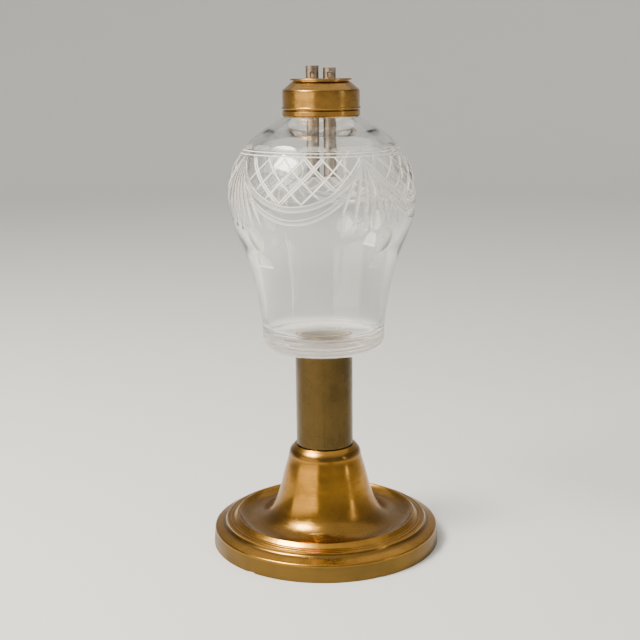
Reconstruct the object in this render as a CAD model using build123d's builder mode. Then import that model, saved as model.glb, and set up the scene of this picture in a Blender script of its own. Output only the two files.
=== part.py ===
from build123d import *
import os

# Two-tube oil lamp: a cut glass font on a brass stem and a spun bell foot, with a drop-in
# burner of two wick tubes in a screw cap. Millimetres, +Z up, the origin in the middle of the
# foot's bottom edge. The front, where the pick slots face, is towards -Y.

# ---- driving dimensions ----

# foot, spun from sheet brass
foot_radius = 51.0
foot_height = 45.1
foot_wall = 1.0
rim_height = 7.6            # upright side wall
rim_draft = 0.6             # how far the side wall leans in
rim_rounding = 0.9
step_inset = 4.5            # from the foot's edge to the top of the sloping step
step_height = 8.9
band_inset = 6.1            # to the outside of the flat band above the cove
band_height = 10.8
band_rise = 0.6             # the band climbs this much towards the ridge
band_width = 3.3
ridge_inset = 11.3          # to the highest ring round the dish
ridge_height = 13.4
ridge_rounding = 0.6
dish_inset = 17.0           # to the lowest ring of the dish
dish_height = 10.4
groove_depth = 0.3          # two turned lines on the band
groove_spacing = 1.4
bell_shoulder = 5.2         # how far the bell's shoulder stands out from the stem
bell_waist = 7.6            # the same at the waist

# stem, drawn brass tube
stem_radius = 12.7
stem_wall = 0.9
stem_length = 44.1
stem_relief = 0.35          # small chamfer where the tube stands on the foot

# fastening of the stem to the foot
plug_thickness = 4.0
stud_radius = 3.175
stud_clearance = 0.3
washer_radius = 9.0
washer_thickness = 1.2
nut_width = 12.0
nut_thickness = 5.0
nut_chamfer = 0.8
stud_proud = 2.0            # stud below the nut

# glass font
font_height = 101.1         # from its flat bottom to the seat of the collar
base_radius = 26.9          # thick disc that the body grows from
base_height = 7.6
base_rounding = 6.0
base_line_depth = 0.35      # turned line round the top of that disc
font_radius = 40.4          # widest part of the body
font_radius_height = 68.0   # above the font's bottom
floor_thickness = 8.6
floor_corner = 3.0
floor_wall = 2.5            # glass beside the cavity's floor
body_wall = 3.4             # wall at the widest part
shoulder_wall = 3.3
neck_radius = 13.6
neck_bore = 10.6
neck_height = 8.3
peg_radius = 10.3           # solid glass peg that sits in the stem
peg_length = 20.0
peg_rounding = 2.0
cement_depth = 2.5          # plaster under the peg

# collar, cemented to the neck
neck_cement = 1.05          # plaster between the glass and the collar
collar_wall = 0.75
collar_height = 8.9         # from the seat to the top of its neck
collar_foot = 0.5           # how far the collar's foot stands out from its thread
collar_band = 1.2           # the same of its band
collar_band_low = 0.6
collar_band_high = 2.5
collar_flange = 2.75        # top of the flange that the cap closes on

# screw cap
thread_clearance = 0.1
cap_wall = 0.95
cap_gap = 0.35              # dark line between the flange and the cap's bead
bead_height = 1.2
bead_stand_out = 0.45
cap_band_top = 11.1         # above the seat
cap_height = 14.6
cap_lip = 0.9
cap_rounding = 1.1          # between the band and the cone

# leather washer in the cap
gasket_thickness = 0.75
seat_gap = 0.1

# burner
skirt_clearance = 0.05      # drop-in skirt in the cap's mouth
skirt_wall = 0.75
skirt_drop = 4.0
stop_stand_out = 0.55       # stop ring that rests on the cap's lip
stop_height = 0.45
disc_overhang = 1.7         # beyond the cap's mouth
disc_thickness = 0.7
tube_radius = 2.75
tube_wall = 0.4
tube_gap = 1.8              # between the tubes
tube_top_left = 5.35        # above the disc
tube_top_right = 4.45
tube_drop = 37.3            # below the disc
slot_width = 2.0
slot_height = 2.6
slot_sill = 0.3             # the slot starts this far above the disc
solder_leg = 0.8

# wicks, inside the tubes
wick_clearance = 0.08
wick_length = 34.0
wick_recess = 1.5           # wick top below the tube's end

# ---- places that follow from them ----

step_radius = foot_radius - step_inset
band_radius = foot_radius - band_inset
ridge_radius = foot_radius - ridge_inset
dish_radius = foot_radius - dish_inset
font_bottom = foot_height + stem_length
seat_z = font_bottom + font_height
stem_bore = stem_radius - stem_wall
collar_bore = neck_radius + neck_cement
thread_radius = collar_bore + collar_wall
cap_bore = thread_radius + thread_clearance
cap_outer = cap_bore + cap_wall
cap_bottom = seat_z + collar_flange + cap_gap
cap_top = seat_z + cap_height
gasket_bottom = seat_z + collar_height + seat_gap
gasket_top = gasket_bottom + gasket_thickness
shoulder_z = gasket_top + seat_gap
cap_mouth = neck_bore + skirt_wall + skirt_clearance
skirt_outer = cap_mouth - skirt_clearance
disc_bottom = cap_top + seat_gap + stop_height
disc_top = disc_bottom + disc_thickness
disc_radius = cap_mouth + disc_overhang
tube_bore = tube_radius - tube_wall
tube_offset = tube_radius + tube_gap / 2
tubes = {"left": (-tube_offset, tube_top_left), "right": (tube_offset, tube_top_right)}

os.makedirs("parts", exist_ok=True)


def write(piece, name):
    piece.part.label = name
    export_step(piece.part, f"parts/{name}.step")


def circles(piece, radius):
    rings = piece.edges().filter_by(GeomType.CIRCLE)
    return rings.filter_by(lambda ring: abs(ring.radius - radius) < 0.001)


# ---- foot ----

with BuildPart() as foot:
    with BuildSketch(Plane.XZ):
        with BuildLine():
            side = Line((foot_radius, 0), (foot_radius - rim_draft, rim_height))
            step = Line(side @ 1, (step_radius, step_height))
            cove = RadiusArc(step @ 1, (band_radius, band_height), band_height - step_height + 0.3)
            band = Line(cove @ 1, (band_radius - band_width, band_height + band_rise))
            rise = Line(band @ 1, (ridge_radius, ridge_height))
            TangentArc((dish_radius, dish_height), rise @ 1, tangent=(1, 0))
            bell = Spline(
                (dish_radius, dish_height),
                ((dish_radius + stem_radius) / 2 + 0.55, foot_height * 0.355),
                (stem_radius + bell_waist, foot_height * 0.552),
                (stem_radius + bell_shoulder, foot_height - 10.7),
                (stem_radius + 3.6, foot_height - 5.0),
                (stem_radius + 0.7, foot_height),
                tangents=((-1, 0), (-1, 0.9)),
            )
            Polyline(bell @ 1, (0, foot_height), (0, 0), (foot_radius, 0))
        make_face()
    revolve(axis=Axis.Z)
    fillet(circles(foot, foot_radius - rim_draft), rim_rounding)
    fillet(circles(foot, ridge_radius), ridge_rounding)
    offset(amount=-foot_wall, openings=foot.faces().sort_by(Axis.Z)[0])
    with BuildSketch(Plane.XZ):
        for i in range(2):
            along = (i + 0.8) * groove_spacing
            with Locations((band_radius - along, band_height + band_rise * along / band_width)):
                Circle(groove_depth)
    revolve(axis=Axis.Z, mode=Mode.SUBTRACT)
    with Locations((0, 0, foot_height)):
        Hole(stud_radius + stud_clearance, depth=2 * foot_wall)
write(foot, "foot")

# ---- stem and its fastening ----

with BuildPart() as stem_tube:
    with BuildSketch(Plane.XY.offset(foot_height)):
        Circle(stem_radius)
        Circle(stem_bore, mode=Mode.SUBTRACT)
    extrude(amount=stem_length)
    chamfer(stem_tube.edges().group_by(Axis.Z)[0].sort_by(SortBy.RADIUS)[-1], stem_relief)
write(stem_tube, "stem_tube")

with BuildPart() as stem_plug:
    with BuildSketch(Plane.XY.offset(foot_height)):
        Circle(stem_bore)
        Circle(stud_radius, mode=Mode.SUBTRACT)
    extrude(amount=plug_thickness)
write(stem_plug, "stem_plug")

washer_top = foot_height - foot_wall
nut_top = washer_top - washer_thickness
stud_bottom = nut_top - nut_thickness - stud_proud

with BuildPart() as stem_stud:
    with BuildSketch(Plane.XY.offset(stud_bottom)):
        Circle(stud_radius)
    extrude(amount=foot_height + plug_thickness - stud_bottom)
    chamfer(stem_stud.edges().group_by(Axis.Z)[0], stud_clearance)
write(stem_stud, "stem_stud")

with BuildPart() as stem_washer:
    with BuildSketch(Plane.XY.offset(nut_top)):
        Circle(washer_radius)
        Circle(stud_radius + stud_clearance, mode=Mode.SUBTRACT)
    extrude(amount=washer_thickness)
write(stem_washer, "stem_washer")

with BuildPart() as stem_nut:
    with BuildSketch(Plane.XY.offset(nut_top - nut_thickness)):
        Rectangle(nut_width, nut_width)
        Circle(stud_radius, mode=Mode.SUBTRACT)
    extrude(amount=nut_thickness)
    chamfer(stem_nut.edges().filter_by(Axis.Z).filter_by(GeomType.LINE), nut_chamfer)
write(stem_nut, "stem_nut")

# ---- glass font ----

widest_z = font_bottom + font_radius_height
base_top = font_bottom + base_height

with BuildPart() as font:
    with BuildSketch(Plane.XZ):
        with BuildLine():
            corner = TangentArc(
                (base_radius - base_rounding, font_bottom),
                (base_radius, font_bottom + base_rounding),
                tangent=(1, 0),
            )
            edge = Line(corner @ 1, (base_radius, base_top))
            body = Spline(
                edge @ 1,
                (base_radius + 2.4, base_top + 18.6),
                (base_radius + 7.0, base_top + 36.2),
                (font_radius, widest_z),
                tangents=((0, 1), (0, 1)),
            )
            shoulder = Spline(
                body @ 1,
                (font_radius - 3.3, widest_z + 14.2),
                (font_radius - 11.5, widest_z + 24.8),
                (neck_radius + 2.9, seat_z),
                tangents=((0, 1), (-1, 0.55)),
            )
            Polyline(
                shoulder @ 1,
                (neck_radius, seat_z),
                (neck_radius, seat_z + neck_height),
                (0, seat_z + neck_height),
                (0, font_bottom),
                (base_radius - base_rounding, font_bottom),
            )
        make_face()
    revolve(axis=Axis.Z)
    with BuildSketch(Plane.XZ):
        with BuildLine():
            floor_z = font_bottom + floor_thickness
            floor_radius = base_radius - floor_wall
            floor_edge = TangentArc(
                (floor_radius - floor_corner, floor_z),
                (floor_radius, floor_z + floor_corner),
                tangent=(1, 0),
            )
            wall = Spline(
                floor_edge @ 1,
                (floor_radius + 1.5, base_top + 20.5),
                (floor_radius + 5.2, base_top + 36.2),
                (font_radius - body_wall, widest_z),
                tangents=((0, 1), (0, 1)),
            )
            roof = Spline(
                wall @ 1,
                (font_radius - shoulder_wall - 5.2, widest_z + 13.0),
                (font_radius - shoulder_wall - 13.0, widest_z + 22.4),
                (neck_bore, seat_z - 0.5),
                tangents=((0, 1), (-0.5, 1)),
            )
            Polyline(
                roof @ 1,
                (neck_bore, seat_z + neck_height),
                (0, seat_z + neck_height),
                (0, floor_z),
                (floor_radius - floor_corner, floor_z),
            )
        make_face()
    revolve(axis=Axis.Z, mode=Mode.SUBTRACT)
    with BuildSketch(Plane.XZ):
        with Locations((base_radius, base_top)):
            Circle(base_line_depth)
    revolve(axis=Axis.Z, mode=Mode.SUBTRACT)
    with BuildSketch(Plane.XY.offset(font_bottom)):
        Circle(peg_radius)
    extrude(amount=-peg_length)
    fillet(font.edges().group_by(Axis.Z)[0], peg_rounding)
write(font, "font")

with BuildPart() as peg_cement:
    with BuildSketch(Plane.XY.offset(font_bottom)):
        Circle(stem_bore)
    extrude(amount=-peg_length - cement_depth)
    add(font.part, mode=Mode.SUBTRACT)
write(peg_cement, "peg_cement")

# ---- collar ----

with BuildPart() as collar:
    with BuildSketch(Plane.XZ):
        with BuildLine():
            Polyline(
                (collar_bore, seat_z),
                (thread_radius + collar_foot, seat_z),
                (thread_radius + collar_band, seat_z + collar_band_low),
                (thread_radius + collar_band, seat_z + collar_band_high),
                (thread_radius + collar_band - 0.4, seat_z + collar_flange),
                (thread_radius, seat_z + collar_flange),
                (thread_radius, seat_z + collar_height),
                (collar_bore, seat_z + collar_height),
                close=True,
            )
        make_face()
    revolve(axis=Axis.Z)
write(collar, "collar")

with BuildPart() as collar_cement:
    with BuildSketch(Plane.XY.offset(seat_z)):
        Circle(collar_bore)
        Circle(neck_radius, mode=Mode.SUBTRACT)
    extrude(amount=neck_height)
write(collar_cement, "collar_cement")

# ---- screw cap and its washer ----

with BuildPart() as cap:
    with BuildSketch(Plane.XZ):
        with BuildLine():
            bead = ThreePointArc(
                (cap_outer, cap_bottom),
                (cap_outer + bead_stand_out, cap_bottom + bead_height / 2),
                (cap_outer, cap_bottom + bead_height),
            )
            Polyline(
                bead @ 1,
                (cap_outer, seat_z + cap_band_top),
                (cap_mouth + cap_lip, cap_top),
                (cap_mouth, cap_top),
                (cap_mouth, cap_top - 1.2),
                (cap_bore - cap_wall, shoulder_z + 0.3),
                (cap_bore - cap_wall, shoulder_z),
                (cap_bore, shoulder_z),
                (cap_bore, cap_bottom),
                (cap_outer, cap_bottom),
            )
        make_face()
    revolve(axis=Axis.Z)
    fillet(circles(cap, cap_outer).sort_by(Axis.Z)[-1], cap_rounding)
write(cap, "cap")

with BuildPart() as cap_gasket:
    with BuildSketch(Plane.XY.offset(gasket_bottom)):
        Circle(cap_bore - seat_gap)
        Circle(skirt_outer + seat_gap, mode=Mode.SUBTRACT)
    extrude(amount=gasket_thickness)
write(cap_gasket, "cap_gasket")

# ---- burner ----

with BuildPart() as burner_disc:
    with BuildSketch(Plane.XY.offset(disc_bottom)):
        Circle(disc_radius)
        with Locations(*[(x, 0) for x, _ in tubes.values()]):
            Circle(tube_radius, mode=Mode.SUBTRACT)
    extrude(amount=disc_thickness)
    fillet(circles(burner_disc, disc_radius), disc_thickness / 4)
write(burner_disc, "burner_disc")

with BuildPart() as burner_skirt:
    with BuildSketch(Plane.XZ):
        with BuildLine():
            Polyline(
                (skirt_outer - skirt_wall, cap_top - skirt_drop),
                (skirt_outer, cap_top - skirt_drop),
                (skirt_outer, cap_top + seat_gap),
                (skirt_outer + stop_stand_out, cap_top + seat_gap),
                (skirt_outer + stop_stand_out, disc_bottom),
                (skirt_outer - skirt_wall, disc_bottom),
                close=True,
            )
        make_face()
    revolve(axis=Axis.Z)
write(burner_skirt, "burner_skirt")

for side_name, (tube_x, tube_top) in tubes.items():
    with BuildPart() as wick_tube:
        with BuildSketch(Plane.XY.offset(disc_bottom - tube_drop)):
            with Locations((tube_x, 0)):
                Circle(tube_radius)
                Circle(tube_bore, mode=Mode.SUBTRACT)
        extrude(amount=tube_drop + disc_thickness + tube_top)
        slot_middle = disc_top + slot_sill + slot_height / 2
        with BuildSketch(Plane.XZ.offset(tube_radius)):
            with Locations((tube_x, slot_middle)):
                RectangleRounded(slot_width, slot_height, slot_width / 4)
        extrude(amount=-tube_radius, mode=Mode.SUBTRACT)
    write(wick_tube, f"wick_tube_{side_name}")

    with BuildPart() as wick:
        with BuildSketch(Plane.XY.offset(disc_top + tube_top - wick_recess)):
            with Locations((tube_x, 0)):
                Circle(tube_bore - wick_clearance)
        extrude(amount=-wick_length)
        fillet(wick.edges().filter_by(GeomType.CIRCLE), tube_bore / 5)
    write(wick, f"wick_{side_name}")

with BuildPart() as tube_solder:
    with Locations(*[(x, 0, disc_bottom - solder_leg) for x, _ in tubes.values()]):
        Cone(tube_radius, tube_radius + solder_leg, solder_leg, align=(Align.CENTER, Align.CENTER, Align.MIN))
        Cylinder(tube_radius, solder_leg, align=(Align.CENTER, Align.CENTER, Align.MIN), mode=Mode.SUBTRACT)
write(tube_solder, "tube_solder")
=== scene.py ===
import bpy
import math
import numpy as np
from mathutils import Matrix, Vector
from mathutils.geometry import delaunay_2d_cdt


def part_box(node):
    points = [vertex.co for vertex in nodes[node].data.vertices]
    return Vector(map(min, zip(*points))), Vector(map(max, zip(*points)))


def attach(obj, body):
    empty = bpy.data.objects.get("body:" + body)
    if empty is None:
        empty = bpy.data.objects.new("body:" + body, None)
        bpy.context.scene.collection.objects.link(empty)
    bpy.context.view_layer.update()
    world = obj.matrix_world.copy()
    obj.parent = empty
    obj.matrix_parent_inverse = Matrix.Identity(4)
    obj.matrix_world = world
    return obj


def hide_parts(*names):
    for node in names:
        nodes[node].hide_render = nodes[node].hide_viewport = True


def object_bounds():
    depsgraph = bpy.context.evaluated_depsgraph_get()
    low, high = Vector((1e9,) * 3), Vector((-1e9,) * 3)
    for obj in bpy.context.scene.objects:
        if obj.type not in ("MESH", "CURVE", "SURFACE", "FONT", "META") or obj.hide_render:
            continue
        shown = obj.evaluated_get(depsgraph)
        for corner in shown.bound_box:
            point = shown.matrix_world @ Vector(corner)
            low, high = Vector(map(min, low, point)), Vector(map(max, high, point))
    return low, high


# Two-tube oil lamp: cut glass font, brass stem and bell foot, screw cap with a drop-in burner.
# Shapes are worked out in millimetres from the CAD frame and written in metres.

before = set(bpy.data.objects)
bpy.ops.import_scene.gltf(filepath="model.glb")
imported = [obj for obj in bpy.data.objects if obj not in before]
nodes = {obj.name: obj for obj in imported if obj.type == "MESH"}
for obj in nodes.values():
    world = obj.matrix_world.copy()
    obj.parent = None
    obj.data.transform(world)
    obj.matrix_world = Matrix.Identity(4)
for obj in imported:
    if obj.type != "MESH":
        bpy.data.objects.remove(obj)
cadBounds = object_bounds()
mm = 0.001
print("frame loaded:", len(nodes), "nodes")


def meshObject(name, co, faces, kinds=None):
    # co: points in mm; faces: list of integer arrays, one per corner count; kinds: material index per face
    mesh = bpy.data.meshes.new(name)
    corners = np.concatenate([f.ravel() for f in faces]).astype(np.int32)
    sizes = np.concatenate([np.full(len(f), f.shape[1]) for f in faces]).astype(np.int32)
    starts = np.concatenate([[0], np.cumsum(sizes)[:-1]]).astype(np.int32)
    mesh.vertices.add(len(co))
    mesh.vertices.foreach_set("co", (np.asarray(co) * mm).astype(np.float32).ravel())
    mesh.loops.add(len(corners))
    mesh.loops.foreach_set("vertex_index", corners)
    mesh.polygons.add(len(sizes))
    mesh.polygons.foreach_set("loop_start", starts)
    mesh.polygons.foreach_set("use_smooth", np.ones(len(sizes), bool))
    if kinds is not None:
        mesh.polygons.foreach_set("material_index", np.asarray(kinds, np.int32))
    mesh.update(calc_edges=True)
    mesh.validate()
    piece = bpy.data.objects.new(name, mesh)
    bpy.context.scene.collection.objects.link(piece)
    return piece


def around(radius, angle, height):
    # a point at a radius and a height, turned by an angle from the front (-Y) towards +X
    return np.stack([radius * np.sin(angle), -radius * np.cos(angle), height + 0 * angle], -1)


def seamProfile(node):
    # (radius, height) points of a turned CAD node in order, where its mesh crosses the +X half plane
    mesh = nodes[node].data
    co = np.empty(len(mesh.vertices) * 3, np.float32)
    mesh.vertices.foreach_get("co", co)
    corners = np.empty(len(mesh.loops), np.int32)
    mesh.loops.foreach_get("vertex_index", corners)
    keys, ids = np.unique(np.round(co.reshape(-1, 3) / mm, 3), axis=0, return_inverse=True)
    triangles = ids.reshape(-1)[corners].reshape(-1, 3)
    onSeam = (np.abs(keys[:, 1]) < 0.002) & (keys[:, 0] > -0.002)
    pairs = np.vstack([triangles[:, [0, 1]], triangles[:, [1, 2]], triangles[:, [2, 0]]])
    pairs = np.unique(np.sort(pairs[onSeam[pairs].all(1)], axis=1), axis=0)
    links = {}
    for a, b in pairs.tolist():
        links.setdefault(a, []).append(b)
        links.setdefault(b, []).append(a)
    ends = [k for k, near in links.items() if len(near) == 1]
    walk = [ends[0] if ends else max(links, key=lambda k: keys[k, 0])]
    seen = set(walk)
    while True:
        ahead = [k for k in links[walk[-1]] if k not in seen]
        if not ahead:
            break
        walk.append(ahead[0])
        seen.add(ahead[0])
    points = keys[walk][:, [0, 2]].astype(float)
    if ends:
        points = np.vstack([[0, points[0, 1]], points, [0, points[-1, 1]]])
        points = points[np.concatenate([[True], np.abs(np.diff(points, axis=0)).sum(1) > 1e-6])]
    return points, not ends


def roundedProfile(points, closed, soften, spacing, cornerDegrees=24):
    # every corner sharper than cornerDegrees becomes a short arc of about soften mm, then a cubic through
    # the points, with slopes weighted by spacing, is sampled every spacing mm
    if closed:
        points = np.vstack([points[-1], points, points[:2]])
    steps = np.diff(points, axis=0)
    length = np.hypot(*steps.T)
    ahead = steps / length[:, None]
    out = [points[0]] if not closed else []
    for i in range(1, len(points) - 1):
        turn = math.degrees(math.acos(float(np.clip(ahead[i - 1] @ ahead[i], -1, 1))))
        if turn < cornerDegrees:
            out.append(points[i])
            continue
        trimA = min(soften, 0.3 * length[i - 1])
        trimB = min(soften, 0.3 * length[i])
        a = points[i] - ahead[i - 1] * trimA
        b = points[i] + ahead[i] * trimB
        out.append(a - ahead[i - 1] * trimA * 0.5)
        for t in (0, 0.25, 0.5, 0.75, 1):
            out.append((1 - t) ** 2 * a + 2 * t * (1 - t) * points[i] + t * t * b)
        out.append(b + ahead[i] * trimB * 0.5)
    if closed:
        out = np.array(out)
        out = out[:-1] if np.allclose(out[0], out[-1]) else out
        ring = np.vstack([out[-1], out, out[:2]])
    else:
        out = np.vstack([out, points[-1]])
        ring = np.vstack([2 * out[0] - out[1], out, 2 * out[-1] - out[-2]])
    gap = np.maximum(np.hypot(*np.diff(ring, axis=0).T), 1e-9)
    slope = np.diff(ring, axis=0) / gap[:, None]
    tangent = (slope[:-1] * gap[1:, None] + slope[1:] * gap[:-1, None]) / (gap[1:] + gap[:-1])[:, None]
    knots = ring[1:-1]
    fine = []
    for i in range(len(knots) - 1):
        h = gap[i + 1]
        t = np.linspace(0, 1, max(1, int(math.ceil(h / spacing))), endpoint=False)[:, None]
        fine.append((2 * t**3 - 3 * t**2 + 1) * knots[i] + (t**3 - 2 * t**2 + t) * h * tangent[i]
                    + (3 * t**2 - 2 * t**3) * knots[i + 1] + (t**3 - t**2) * h * tangent[i + 1])
    fine = np.vstack(fine) if closed else np.vstack(fine + [knots[-1:]])
    fine[:, 0] = np.maximum(fine[:, 0], 0)
    return fine


def hollowness(profile, closed, reach=3):
    # how far each profile point lies inside the line of its neighbours, in mm: positive in grooves
    pad = np.vstack([profile[-reach:], profile, profile[:reach]]) if closed else np.pad(
        profile, ((reach, reach), (0, 0)), mode="edge")
    middle = (pad[:-2 * reach] + pad[2 * reach:]) / 2
    along = pad[2 * reach:] - pad[:-2 * reach]
    normal = np.stack([along[:, 1], -along[:, 0]], 1) / np.maximum(np.hypot(*along.T), 1e-9)[:, None]
    return ((middle - profile) * normal).sum(1)


def turnedFaces(count, segments, closed, firstPole, lastPole, base=0):
    # quads between neighbouring rings of a turned surface; a pole is one vertex with a fan round it
    ringOf = []
    at = base
    for i in range(count):
        single = (i == 0 and firstPole) or (i == count - 1 and lastPole)
        ringOf.append((at, single))
        at += 1 if single else segments
    j = np.arange(segments)
    k = (j + 1) % segments
    quads, fans = [], []
    for i in range(count if closed else count - 1):
        (a, oneA), (b, oneB) = ringOf[i], ringOf[(i + 1) % count]
        if oneA:
            fans.append(np.stack([np.full(segments, a), b + k, b + j], 1))
        elif oneB:
            fans.append(np.stack([a + j, a + k, np.full(segments, b)], 1))
        else:
            quads.append(np.stack([a + j, a + k, b + k, b + j], 1))
    return [np.vstack(g) for g in (fans, quads) if g], at


def turnedPoints(profile, segments, firstPole, lastPole):
    # radius and height carried round the axis; azimuth 0 is the front (-Y), and grows towards +X
    az = -math.pi + 2 * math.pi * np.arange(segments) / segments
    r, z = profile[:, 0][:, None], profile[:, 1][:, None]
    co = around(r, az, z)
    rings = [co[i] for i in range(len(profile))]
    if firstPole:
        rings[0] = rings[0][:1]
    if lastPole:
        rings[-1] = rings[-1][:1]
    return np.vstack(rings)


def faceOutwards(piece):
    # the sum of each face's volume towards the origin tells whether the surface is inside out
    mesh = piece.data
    mesh.calc_loop_triangles()
    corner = np.empty(len(mesh.loop_triangles) * 3, np.int32)
    mesh.loop_triangles.foreach_get("vertices", corner)
    co = np.empty(len(mesh.vertices) * 3, np.float32)
    mesh.vertices.foreach_get("co", co)
    a, b, c = co.reshape(-1, 3)[corner.reshape(-1, 3)].transpose(1, 0, 2)
    if np.einsum("ij,ij->i", a, np.cross(b, c)).sum() < 0:
        mesh.flip_normals()


def turnedPiece(name, node, look, shape=None):
    # a turned piece: the CAD node's own profile, its corners rounded, carried round in fine steps
    points, closed = seamProfile(node)
    profile = roundedProfile(points, closed, look["soften"], look["spacing"])
    firstPole, lastPole = profile[0, 0] < 1e-6 and not closed, profile[-1, 0] < 1e-6 and not closed
    co = turnedPoints(profile, look["segments"], firstPole, lastPole)
    if shape:
        co = shape(co)
    faces, _ = turnedFaces(len(profile), look["segments"], closed, firstPole, lastPole)
    piece = meshObject(name, co, faces)
    depth = hollowness(profile, closed)
    counts = np.full(len(profile), look["segments"])
    counts[0] = 1 if firstPole else counts[0]
    counts[-1] = 1 if lastPole else counts[-1]
    # groove depth per point, read by the brass finish to paint shade into the grooves
    layer = piece.data.attributes.new("hollow", "FLOAT", "POINT")
    layer.data.foreach_set("value", np.repeat(np.abs(depth), counts).astype(np.float32))
    faceOutwards(piece)
    print("turned", name, len(piece.data.polygons), "faces")
    return piece


def heights(node):
    # lowest and highest point of a CAD node in mm
    low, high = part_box(node)
    return low.z / mm, high.z / mm


def settle(piece, body, slot, *replaced):
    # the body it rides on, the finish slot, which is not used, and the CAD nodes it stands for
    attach(piece, body)
    if replaced:
        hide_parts(*replaced)


cameraLook = {"distance": 0.5088, "height": 0.2126, "lens": 66.31, "down": 12.31, "aside": 0.174,
              "roll": -0.68}


def makeCamera():
    # stands in front, looks along +Y, tipped down; roll turns it about its own line of sight
    camera = bpy.data.objects.new("camera", bpy.data.cameras.new("camera"))
    camera.data.lens = cameraLook["lens"]
    camera.data.sensor_width = 36
    camera.data.clip_start = 0.01
    turn = (Matrix.Rotation(math.radians(cameraLook["aside"]), 4, "Z")
            @ Matrix.Rotation(math.radians(90 - cameraLook["down"]), 4, "X")
            @ Matrix.Rotation(math.radians(cameraLook["roll"]), 4, "Z"))
    camera.matrix_world = Matrix.Translation((0, -cameraLook["distance"], cameraLook["height"])) @ turn
    bpy.context.scene.collection.objects.link(camera)
    bpy.context.scene.camera = camera


makeCamera()
print("camera set")


# studio: a round pale floor that sweeps up into a wall, and soft lights on frames
studioLook = {"paperTone": (0.62, 0.62, 0.61), "flatRadius": 1.5, "sweepRadius": 0.8, "wallTop": 2.0,
              "airTone": (1.0, 0.97, 0.92), "airStrength": 1.05, "segments": 96,
              "sideTone": (0.40, 0.40, 0.40), "sideFrom": 1.0, "sideTo": 1.8,
              "sideLow": 0.02, "sideHigh": 0.4, "rough": 0.8}
studioLights = [  # name, azimuth, elevation, distance, width, height, watts, tone
    ("keySoftbox", -62.0, 50.0, 0.92, 0.75, 0.52, 7.0, (1.0, 0.92, 0.80)),
    ("keyCore", -62.0, 50.0, 0.90, 0.36, 0.26, 18.0, (1.0, 0.93, 0.82)),
    ("lowSoftbox", -52.0, 9.0, 1.10, 1.30, 0.40, 4.4, (1.0, 0.88, 0.70)),
    ("stripSoftbox", 66.0, 16.0, 1.20, 0.03, 0.60, 0.9, (1.0, 0.96, 0.92)),
]


def makeStudio():
    # floor profile: level, a quarter circle, then upright, carried round the axis
    s = studioLook
    angle = np.linspace(0, math.pi / 2, 17)
    level = np.linspace(0, s["flatRadius"], 9)[:-1]
    sweep = s["flatRadius"] + s["sweepRadius"] * np.sin(angle)
    radius = np.concatenate([level, sweep, sweep[-1:]])
    rise = np.concatenate([0 * level, s["sweepRadius"] * (1 - np.cos(angle)), [s["wallTop"]]])
    profile = np.stack([radius, rise], 1) / mm
    faces, _ = turnedFaces(len(profile), s["segments"], False, True, False)
    floor = meshObject("studioFloor", turnedPoints(profile, s["segments"], True, False), faces)
    floor.data.flip_normals()
    floor.data.materials.append(paperMaterial())
    world = bpy.data.worlds.new("studioAir")
    world.use_nodes = True
    air = world.node_tree.nodes["Background"]
    air.inputs["Color"].default_value = (*s["airTone"], 1)
    air.inputs["Strength"].default_value = s["airStrength"]
    bpy.context.scene.world = world
    target = Vector((0, 0, (cadBounds[0][2] + cadBounds[1][2]) / 2))
    for name, azimuth, elevation, distance, width, height, watts, tone in studioLights:
        a, e = math.radians(azimuth), math.radians(elevation)
        light = bpy.data.lights.new(name, "AREA")
        light.shape = "RECTANGLE"
        light.size, light.size_y, light.energy, light.color = width, height, watts, tone
        lamp = bpy.data.objects.new(name, light)
        away = Vector((math.sin(a) * math.cos(e), -math.cos(a) * math.cos(e), math.sin(e)))
        lamp.location = target + away * distance
        lamp.rotation_euler = away.to_track_quat("Z", "Y").to_euler()
        bpy.context.scene.collection.objects.link(lamp)


def startMaterial(name):
    # a new material with its node tree and its shader
    material = bpy.data.materials.new(name)
    material.use_nodes = True
    return material, material.node_tree, material.node_tree.nodes["Principled BSDF"]


def add(tree, kind, inputs=None, **settings):
    # one node: inputs take a value or another node's output
    item = tree.nodes.new("ShaderNode" + kind)
    for key, value in settings.items():
        setattr(item, key, value)
    for key, value in (inputs or {}).items():
        if isinstance(value, bpy.types.NodeSocket):
            tree.links.new(value, item.inputs[key])
        else:
            item.inputs[key].default_value = value
    return item


def feed(tree, shader, **links):
    # joins node outputs to the shader's sockets; an underscore stands for a space
    for key, value in links.items():
        tree.links.new(value, shader.inputs[key.replace("_", " ")])


def setValues(shader, **values):
    # plain values straight on the shader's sockets
    for key, value in values.items():
        shader.inputs[key.replace("_", " ")].default_value = value


def millimetres(tree, turn=(0, 0, 0)):
    # object coordinates in millimetres, turned by the given angles
    where = add(tree, "TexCoord").outputs["Object"]
    return add(tree, "Mapping", {"Vector": where, "Scale": (1000, 1000, 1000), "Rotation": turn}).outputs[0]


def maths(tree, operation, a, b=0.0, clamp=False):
    # one sum of two values or outputs
    return add(tree, "Math", {0: a, 1: b}, operation=operation, use_clamp=clamp).outputs[0]


def times(tree, a, b):
    # a times b
    return maths(tree, "MULTIPLY", a, b)


def plus(tree, a, b, clamp=False):
    # a plus b, kept between 0 and 1 if clamped
    return maths(tree, "ADD", a, b, clamp)


def ringPoint(tree, point, share):
    # distance from the axis and height keep their scale, the place round the axis hardly counts:
    # noise read here runs in rings, as brush and lathe marks do
    parts = add(tree, "SeparateXYZ", {0: point}).outputs
    squares = [maths(tree, "POWER", part, 2.0) for part in parts[:2]]
    radius = maths(tree, "SQRT", plus(tree, *squares))
    vector = add(tree, "CombineXYZ", {0: radius, 1: parts[2], 2: times(tree, parts[0], share)}).outputs[0]
    return vector, times(tree, parts[1], share)


def stretched(tree, value, low, high):
    # the value as a share of the way from low to high
    return add(tree, "MapRange", {"Value": value, "From Min": low, "From Max": high}).outputs[0]


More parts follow.
